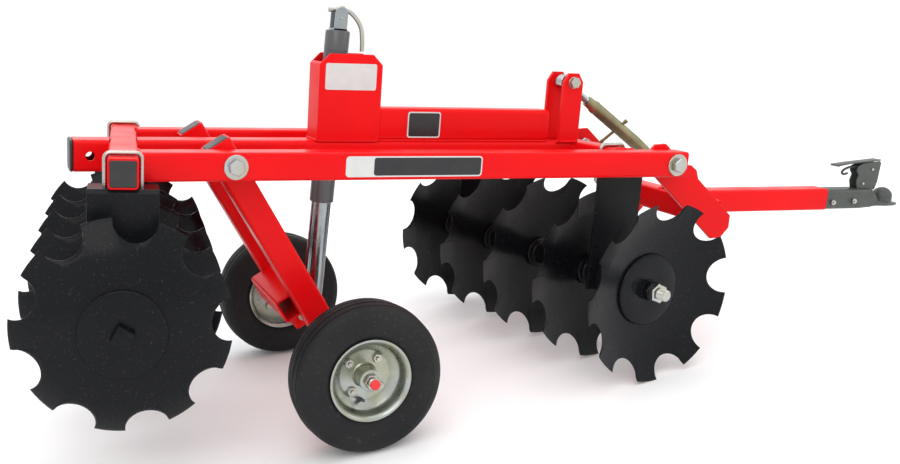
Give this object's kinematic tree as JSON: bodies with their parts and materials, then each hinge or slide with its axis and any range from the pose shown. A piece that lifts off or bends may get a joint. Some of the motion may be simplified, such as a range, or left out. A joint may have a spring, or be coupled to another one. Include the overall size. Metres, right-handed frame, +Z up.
{
  "type": "pull-type disc harrow",
  "caption": "Towed disc harrow: two angled gangs of notched discs under a square tube frame, with a wheeled lift frame, a screw jack and a levelling tongue.",
  "frame": {"origin": "on the floor, under the middle of the machine's bounding box", "axes": "+X forward to the hitch, +Y to the machine's left, +Z up"},
  "size_m": [3.1592, 1.2216, 1.1735],
  "materials": {
    "frame_paint": "gloss red powder coat",
    "disc_paint": "gloss black",
    "hanger_paint": "satin black",
    "zinc": "yellow-tinted zinc plate",
    "jack_inner": "bright zinc plate",
    "jack_outer": "satin dark grey",
    "tyre": "matt rubber",
    "rim": "galvanised",
    "cap": "black",
    "turnbuckle_plating": "olive-gold zinc plate",
    "coupler_paint": "dark grey-green"
  },
  "bodies": {
    "root": {"right_rail": "frame_paint", "left_rail": "frame_paint", "left_rail_front": "frame_paint", "spine": "frame_paint", "spine_cap": "cap", "rear_gang_tube": "frame_paint", "front_gang_tube": "frame_paint", "mast": "frame_paint", "top_beam": "frame_paint", "right_lug": "frame_paint", "left_lug": "frame_paint", "lug_pin": "zinc", "right_lift_bolt": "zinc", "left_lift_bolt": "zinc", "right_tongue_bolt": "zinc", "left_tongue_bolt": "zinc", "rear_right_hanger": "hanger_paint", "rear_left_hanger": "hanger_paint", "front_right_hanger": "hanger_paint", "front_left_hanger": "hanger_paint", "rear_right_hanger_u_bolt": "zinc", "rear_left_hanger_u_bolt": "zinc", "front_right_hanger_u_bolt": "zinc", "front_left_hanger_u_bolt": "zinc"},
    "rear_gang": {"rear_axle": "disc_paint", "rear_disc_1": "disc_paint", "rear_disc_2": "disc_paint", "rear_disc_3": "disc_paint", "rear_disc_4": "disc_paint", "rear_disc_5": "disc_paint"},
    "front_gang": {"front_axle": "disc_paint", "front_disc_1": "disc_paint", "front_disc_2": "disc_paint", "front_disc_3": "disc_paint", "front_disc_4": "disc_paint", "front_disc_5": "disc_paint"},
    "lift_frame": {"right_arm": "frame_paint", "left_arm": "frame_paint", "cross_tube": "frame_paint", "jack_foot_pin": "zinc", "right_spindle": "zinc", "left_spindle": "zinc"},
    "right_wheel": {"right_tyre": "tyre", "right_rim": "rim"},
    "left_wheel": {"left_tyre": "tyre", "left_rim": "rim"},
    "jack_barrel": {"jack_tube": "jack_outer"},
    "jack_screw": {"jack_rod": "jack_inner"},
    "tongue": {"right_yoke_plate": "frame_paint", "left_yoke_plate": "frame_paint", "yoke_cross_tube": "frame_paint", "tongue_tube": "frame_paint", "yoke_pin": "zinc", "coupler": "coupler_paint"},
    "turnbuckle": {"turnbuckle_body": "turnbuckle_plating"},
    "turnbuckle_end": {"turnbuckle_screw": "turnbuckle_plating"}
  },
  "joints": [
    {"name": "rear_gang_spin", "type": "hinge", "parent": "root", "child": "rear_gang", "pos_m": [-1.30193, -0.44312, 0.48598], "axis": [0.1319, 0.9911, -0.0183], "continuous": true},
    {"name": "front_gang_spin", "type": "hinge", "parent": "root", "child": "front_gang", "pos_m": [0.21884, -0.2674, 0.27497], "axis": [-0.1447, 0.9893, 0.0201], "continuous": true},
    {"name": "lift", "type": "hinge", "parent": "root", "child": "lift_frame", "pos_m": [-0.94972, -0.04742, 0.80298], "axis": [0, -1, 0], "range_deg": [0, 30]},
    {"name": "right_wheel_spin", "type": "hinge", "parent": "lift_frame", "child": "right_wheel", "pos_m": [-0.68445, -0.46542, 0.2104], "axis": [0, 1, 0], "continuous": true},
    {"name": "left_wheel_spin", "type": "hinge", "parent": "lift_frame", "child": "left_wheel", "pos_m": [-0.68445, 0.37058, 0.2104], "axis": [0, 1, 0], "continuous": true},
    {"name": "jack_tilt", "type": "hinge", "parent": "root", "child": "jack_barrel", "pos_m": [-0.55675, -0.04742, 0.99792], "axis": [0, -1, 0], "range_deg": [0, 19.9]},
    {"name": "jack_travel", "type": "slide", "parent": "jack_barrel", "child": "jack_screw", "axis": [0.1894, 0, 0.9819], "range_m": [0, 0.2]},
    {"name": "tongue_level", "type": "hinge", "parent": "root", "child": "tongue", "pos_m": [0.40401, -0.04742, 0.61515], "axis": [0, -1, 0], "range_deg": [-8, 8]},
    {"name": "turnbuckle_swing", "type": "hinge", "parent": "root", "child": "turnbuckle", "pos_m": [0.21032, -0.04742, 0.86726], "axis": [0, -1, 0], "range_deg": [-3.8, 3.8]},
    {"name": "turnbuckle_travel", "type": "slide", "parent": "turnbuckle", "child": "turnbuckle_end", "axis": [-0.7454, 0, 0.6666], "range_m": [-0.009, 0.009]}
  ],
  "couplings": [
    {"joint": "jack_tilt", "follows": "lift", "ratio": 0.6601},
    {"joint": "jack_travel", "follows": "lift", "m_per_rad": 0.38135},
    {"joint": "turnbuckle_swing", "follows": "tongue_level", "ratio": 0.46198},
    {"joint": "turnbuckle_travel", "follows": "tongue_level", "m_per_rad": 0.05875}
  ]
}
